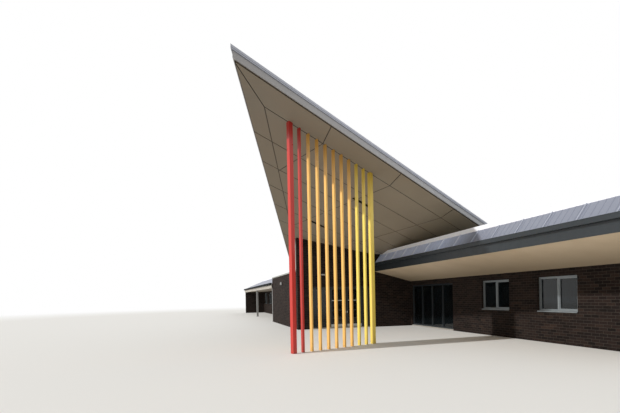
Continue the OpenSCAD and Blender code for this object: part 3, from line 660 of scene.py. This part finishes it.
def make_capping_joints():
    """Cover straps where two lengths of the white edge strip or the wall capping meet."""
    length = 2.4
    for name, low, high, count in (
            ("wing_strip_straps", (0.4175, -12.0, 3.679), (0.4615, -11.93, 3.8515), 5),
            ("east_strip_straps", (7.9985, -12.0, 3.679), (8.0395, -11.93, 3.8515), 5),
            ("low_capping_straps", (-4.0215, 1.6, 2.879), (-3.7285, 1.67, 2.9515), 3)):
        strap = Making().block(low, high, 0.001)
        strap.rows(count, ALONG_Y * length).done(name, CAPPING, "capping")


def glaze(beads, rubber, place, out, pane, face=0.1195, rim=0.016, depth=0.014,
          strip=(0.006, 0.005, 0.001)):
    """A bead or sash round one pane, and the rubber strip inside it.

    pane gives its two sides and its lower and upper edge, face the depth at which the bead stands,
    and strip the rubber's width, its depth and how far its edges are softened.
    """
    start, end, low, high = pane

    def outline(inset, deep):
        return [place(start + inset, deep, low + inset), place(end - inset, deep, low + inset),
                place(end - inset, deep, high - inset), place(start + inset, deep, high - inset)]

    width, thick, soft = strip
    beads.ring(outline(0.0, face), rim, out * depth)
    rubber.ring(outline(rim + HAIR, face + HAIR), width, out * thick, soft)


# Rows of windows: name, side, the wall's face, the first one's middle, their spacing and number,
# and each one's width, lower edge and number of panes
WALLS = (
    ("wing", "west", WING_X, -6.5, -2.8, 3, 1.5, SILL, 2),
    ("screen", "west", WING_X, -1.945, 0.0, 1, 3.69, FLOOR, 4),
    ("porch", "west", NORTH_X, 9.4, 2.96, 6, 1.8, SILL, 2),
    ("east", "east", EAST_X, -11.5, 3.54, 11, 1.8, SILL, 2),
    ("south", "south", SOUTH_Y, 3.74, 2.66, 2, 1.5, SILL, 2),
    ("north", "north", NORTH_Y, 0.0, 3.0, 3, 1.5, SILL, 2),
)


def make_windows(name, side, face, first, step, count, wide, low, panes):
    """Sashes, glazing beads, rubber and sills in one wall's row of windows."""
    turned = side in ("south", "north")
    inward = 1.0 if side in ("west", "south") else -1.0
    over_sill = low > FLOOR

    def place(along, deep, z):
        return (along, face + inward * deep, z) if turned else (face + inward * deep, along, z)

    run = Vector((1.0, 0.0, 0.0)) if turned else ALONG_Y
    out = Vector(place(0.0, -1.0, 0.0)) - Vector(place(0.0, 0.0, 0.0))
    pane = (wide - (panes + 1) * FRAME_W) / panes
    bottom, top = low + FRAME_W + SLIT, HEAD - FRAME_W - SLIT
    sashes, rubber = Making(), Making()
    for number in range(panes):
        start = first - wide / 2 + FRAME_W + SLIT + number * (pane + FRAME_W)
        end = start + pane - 2 * SLIT
        opens = number == 0 and over_sill
        rim, depth = (0.036, 0.032) if opens else (0.016, 0.014)
        glaze(sashes, rubber, place, out, (start, end, bottom, top), rim=rim, depth=depth)
        if opens:
            middle = (start + end) / 2
            catch = [place(middle - 0.011, 0.0868, bottom + 0.006),
                     place(middle + 0.011, 0.0755, bottom + 0.030)]
            sashes.block(*(tuple(pick(pair) for pair in zip(*catch)) for pick in (min, max)), 0.0)
    finish, slot = (WINDOW_FRAME, "frame") if over_sill else (DOOR_FRAME, "gutter")
    sashes.rows(count, run * step).done(name + "_sashes", finish, slot)
    rubber.rows(count, run * step).done(name + "_glazing_rubber", RUBBER, "gutter")
    if over_sill:
        start = first - wide / 2 + 0.002
        section = ((0.0745, low + 0.0008), (-0.016, low + 0.0008), (-0.016, low - 0.022),
                   (-0.022, low - 0.022), (-0.022, low + 0.0075), (0.0745, low + 0.024))
        sills = Making().drawn([place(start, deep, z) for deep, z in section], run * (wide - 0.004))
        sills.rows(count, run * step).done(name + "_sills", WINDOW_FRAME, "frame")


def hinge_screw(made, x, z):
    """A countersunk screw head on a hinge's plate."""
    made.rod((x, 0.0715, z), (x, 0.0698, z), 0.0042, 12, 0.0030)


def make_doorway():
    """Beads and rubber in the fixed lights, the aluminium threshold and the jambs' hinge screws."""
    def place(x, deep, z):
        return (x, deep, z)

    bottom, top = FLOOR + FRAME_W + SLIT, HEAD - FRAME_W - SLIT
    beads, rubber = Making(), Making()
    for west, east in ((-3.25, -2.35), (-0.55, -0.25)):
        glaze(beads, rubber, place, OUT_OF_DOORS, (west + SLIT, east - SLIT, bottom, top))
    beads.done("entry_beads", DOOR_FRAME, "frame")
    rubber.done("entry_glazing_rubber", RUBBER, "gutter")
    plate = Making().block((-2.298, 0.035, 0.0501), (-0.602, 0.165, 0.0528), 0.0008)
    for y in (0.048, 0.068, 0.132, 0.152):
        plate.block((-2.29, y - 0.004, 0.0526), (-0.61, y + 0.004, 0.0545), 0.0006)
    plate.done("entry_threshold", BRIGHT_TRIM, "frame")
    screws = Making()
    for level in HINGE_LEVELS:
        for _, jamb, way in LEAVES:
            for reach in SCREW_REACHES:
                hinge_screw(screws, jamb - way * reach, level + 0.02)
    screws.done("jamb_hinge_screws", BRIGHT_TRIM, "frame")


def make_leaf(side, jamb, way):
    """One door leaf's beads, rubber, push rail, kick plate, lock and hinge screws."""
    def across(reach):
        return jamb + way * (LEAF_GAP + reach)

    def place(reach, deep, z):
        return (across(reach), deep, z)

    body = side + "_leaf"
    beads, rubber, trim = Making(), Making(), Making()
    glaze(beads, rubber, place, OUT_OF_DOORS, (0.0805, 0.7632, 0.2165, 1.9635), face=0.0920,
          rim=0.012, depth=0.010, strip=(0.005, 0.004, 0.0008))
    beads.done(side + "_leaf_beads", DOOR_FRAME, "frame", body)
    rubber.done(side + "_leaf_rubber", RUBBER, "gutter", body)
    leaf_face = 0.0748
    # Push rail, kick plate and lock plate: reach from the hinge, heights, front face and softening
    for near, far, low, high, front, soft in ((0.082, 0.762, 1.383, 1.417, 0.0715, 0.001),
                                              (0.030, 0.815, 0.070, 0.200, 0.0735, 0.0005),
                                              (0.786, 0.822, 0.760, 0.860, 0.0732, 0.0006)):
        west, east = sorted((across(near), across(far)))
        trim.block((west, front, low), (east, leaf_face, high), soft)
    trim.rod((across(0.804), 0.0736, 0.820), (across(0.804), 0.0668, 0.820), 0.011, 20, 0.0102)
    for level in HINGE_LEVELS:
        for reach in SCREW_REACHES:
            hinge_screw(trim, across(reach), level + 0.0603)
    trim.done(side + "_leaf_trim", BRIGHT_TRIM, "frame", body)


def make_lamps():
    """Bulkhead lamp with three bars on the low wall, and a shallow lamp over the doors."""
    cases, covers = Making(), Making()
    cases.block((-4.030, 4.072, 2.322), (-4.0005, 4.428, 2.518), 0.006, 2)
    covers.block((-4.064, 4.092, 2.340), (-4.028, 4.408, 2.500), 0.014, 3)
    for y in (4.17, 4.25, 4.33):
        cases.block((-4.0695, y - 0.006, 2.325), (-4.024, y + 0.006, 2.515), 0.003)
    cases.block((-2.778, -0.030, 2.662), (-2.582, -0.0005, 2.738), 0.004, 2)
    covers.block((-2.770, -0.066, 2.668), (-2.590, -0.028, 2.732), 0.010, 3)
    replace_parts(cases.done("lamp_cases", DOOR_FRAME, "light"), "wall_lights")
    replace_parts(covers.done("lamp_covers", LAMP, "light"), "wall_lights")


def make_downpipe_trim():
    """Wall straps and the spreader at the foot of the corner downpipe."""
    front, low, high = 0.2505, 2.9515, 3.04
    made = Making()
    for z in (3.25, 3.95):
        made.block((-4.0175, front, z), (-3.9395, 0.3265, z + 0.03), 0.001)
        made.block((-4.0315, 0.279, z + 0.004), (-4.0165, 0.297, z + 0.026), 0.001)
    section = ((-4.019, low), (-3.938, low), (-3.938, 3.03), (-3.944, high), (-4.013, high),
               (-4.019, 3.03))
    made.drawn([(x, front, z) for x, z in section], ALONG_Y * 0.078, 0.002)
    made.done("downpipe_trim", PIPE, "downpipe")


def make_slot_trim():
    """Black flanges and cross blades on the two slot lights in the prow's lining."""
    along = FRONT_DIR - UP * LINING_FALL * (FRONT_DIR.x + FRONT_DIR.y)
    across = FRONT_IN - UP * LINING_FALL * (FRONT_IN.x + FRONT_IN.y)
    down = Vector((-LINING_FALL, -LINING_FALL, -1.0)).normalized()
    long_side, short_side = along * 1.06, across * 0.12
    blade_long, blade_wide = across * 0.068, along * 0.008
    made = Making()
    for far, deep in ((6.43, 2.46), (6.55, 5.43)):
        corner = APEX + FRONT_DIR * far + FRONT_IN * deep
        corner.z = LINING_AT_ZERO - LINING_FALL * (corner.x + corner.y)
        corner -= along * 0.03 + across * 0.06 - down * 0.0004
        made.ring([corner, corner + long_side, corner + long_side + short_side, corner + short_side],
                  0.024, down * 0.012, 0.002)
        for part in range(1, 6):
            blade = corner + long_side * (part / 6) + across * 0.026
            made.drawn([blade, blade + blade_wide, blade + blade_wide + blade_long,
                        blade + blade_long], down * 0.008)
    made.done("slot_light_trim", SLOT, "dark_slot")


def make_posts():
    """The screen's posts, cut to the lining: thick square ones at the ends and flat bars between."""
    first, step, last = 2.24, 0.332, 10
    thick, bar = (0.13, 0.13), (0.052, 0.106)
    tall, clear = 4.5, 0.0005
    for name, places, finish, slot, node in (
            ("red_post_bars", (0, 1), RED, "red", "red_posts"),
            ("amber_post_bars", range(2, 8), AMBER, "amber", "amber_posts"),
            ("yellow_post_bars", (8, 9, last), YELLOW, "yellow", "yellow_posts")):
        made = Making()
        for place in places:
            wide, deep = thick if place in (0, last) else bar
            foot = APEX + FRONT_DIR * (first + step * place) + FRONT_IN * FRONT_BAND
            a, b = FRONT_DIR * wide / 2, FRONT_IN * deep / 2
            made.drawn([foot - a - b, foot + a - b, foot + a + b, foot - a + b], UP * tall, 0.003)
        for corner in made.shape.verts:
            if corner.co.z > tall / 2:
                lining = LINING_AT_MID - LINING_FALL * (corner.co.x + corner.co.y)
                corner.co.z += lining - tall - clear
        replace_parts(made.done(name, finish, slot), node)


def make_post_plates():
    """Foot plates with bolts and head angles on the verandah's posts."""
    steel, bolts = Making(), Making()
    for y in (7.62, 16.2):
        steel.block((-4.03, y - 0.03, 0.0), (-3.82, y + 0.18, 0.012), 0.002)
        steel.block((-4.006, y - 0.006, 2.20), (-3.844, y + 0.156, 2.2395), 0.003)
        for x in (-4.012, -3.838):
            for away in (-0.012, 0.162):
                bolts.rod((x, y + away, 0.011), (x, y + away, 0.022), 0.010, 6)
                bolts.rod((x, y + away, 0.022), (x, y + away, 0.032), 0.0055, 10)
    steel.done("verandah_post_plates", VERANDAH_POST, "post_grey")
    bolts.done("verandah_post_bolts", BRIGHT_TRIM, "frame")


make_skirt_sheet()
make_verandah_sheet()
make_deck_sheets()
make_prow_sheet()
make_gutter_trim()
make_capping_joints()
for wall in WALLS:
    make_windows(*wall)
make_doorway()
for leaf in LEAVES:
    make_leaf(*leaf)
make_lamps()
make_downpipe_trim()
make_slot_trim()
make_posts()
make_post_plates()


def set_camera():
    """The photograph's view: level, from eye height, with the frame shifted up."""
    photo_wide, photo_high, horizon_below_middle = 620.0, 413.0, 90.53
    yaw, roll = math.radians(14.47), math.radians(1.118)
    standing = at(-8.4885, -19.8263, 1.6)
    data = bpy.data.cameras.new("court_view")
    eye = bpy.data.objects.new("court_view", data)
    bpy.context.scene.collection.objects.link(eye)
    data.sensor_width = 36.0
    data.lens = photo_high / photo_wide * data.sensor_width
    data.shift_y = horizon_below_middle / photo_wide
    data.clip_end = 500.0
    ahead = Vector((math.sin(yaw), math.cos(yaw), 0.0))
    right = Vector((math.cos(yaw), -math.sin(yaw), 0.0))
    axis_x = math.cos(roll) * right - math.sin(roll) * UP
    axis_y = math.sin(roll) * right + math.cos(roll) * UP
    turn = Matrix((axis_x, axis_y, -ahead)).transposed()
    eye.matrix_world = Matrix.Translation(standing) @ turn.to_4x4()
    bpy.context.scene.camera = eye


def any_ray(tree, *kinds):
    """1 where the ray is of one of these kinds."""
    path = tree.nodes.new("ShaderNodeLightPath")
    seen = [Value(tree, path.outputs[kind]) for kind in kinds]
    found = seen[0]
    for other in seen[1:]:
        found = found.or_more(other)
    return found


def set_sky():
    """Soft light from all round, which the camera, mirrors and glass see as plain white."""
    world = bpy.data.worlds.new("studio_sky")
    bpy.context.scene.world = world
    world.use_nodes = True
    tree = world.node_tree
    tree.nodes.clear()
    mix = tree.nodes.new("ShaderNodeMixShader")
    seen = any_ray(tree, "Is Camera Ray", "Is Transmission Ray", "Is Glossy Ray")
    tree.links.new(seen.socket, mix.inputs[0])
    for place, strength in ((1, 0.5), (2, 1.0)):
        glow = tree.nodes.new("ShaderNodeBackground")
        glow.inputs[0].default_value = (1.0, 1.0, 1.0, 1.0)
        glow.inputs[1].default_value = strength
        tree.links.new(glow.outputs[0], mix.inputs[place])
    tree.links.new(mix.outputs[0], tree.nodes.new("ShaderNodeOutputWorld").inputs[0])


def set_key_light():
    """A sun from the photograph's light side, whose shadows have slightly soft edges."""
    key = bpy.data.objects.new("key_light", bpy.data.lights.new("key_light", "SUN"))
    key.data.energy = 2.6
    key.data.angle = math.radians(1.2)
    key.rotation_mode = "QUATERNION"
    key.rotation_quaternion = Vector((0.84, 0.088, -0.536)).to_track_quat("-Z", "Y")
    bpy.context.scene.collection.objects.link(key)


def set_floor():
    """A pale floor that keeps the shadows and fades to white far out."""
    radius, fade_start, fade_end = 220.0, 29.0, 50.0
    shape = bmesh.new()
    bmesh.ops.create_circle(shape, cap_ends=True, segments=96, radius=radius)
    mesh = bpy.data.meshes.new("court_floor")
    shape.to_mesh(mesh)
    shape.free()
    floor = bpy.data.objects.new("court_floor", mesh)
    floor.location = (0.0, 0.0, -0.004)
    bpy.context.scene.collection.objects.link(floor)
    f = Finish("pale_floor", Base_Color="#e9e7e2", Roughness=0.85)
    far = f.node("ShaderNodeVectorMath", {"operation": "LENGTH"}, {0: f.places}, out="Value")
    glow = f.node("ShaderNodeEmission", None, {"Color": (1.0, 1.0, 1.0, 1.0), "Strength": 1.0})
    seen = any_ray(f.tree, "Is Camera Ray", "Is Glossy Ray")
    fade = f.span(far, fade_start, fade_end) * seen
    mixed = f.node("ShaderNodeMixShader", None,
                   {0: fade, 1: Value(f.tree, f.shader.outputs[0]), 2: glow})
    f.tree.links.new(mixed.socket, f.output.inputs[0])
    mesh.materials.append(f.material)


set_camera()
set_sky()
set_key_light()
set_floor()
bpy.context.scene.view_settings.view_transform = "Standard"
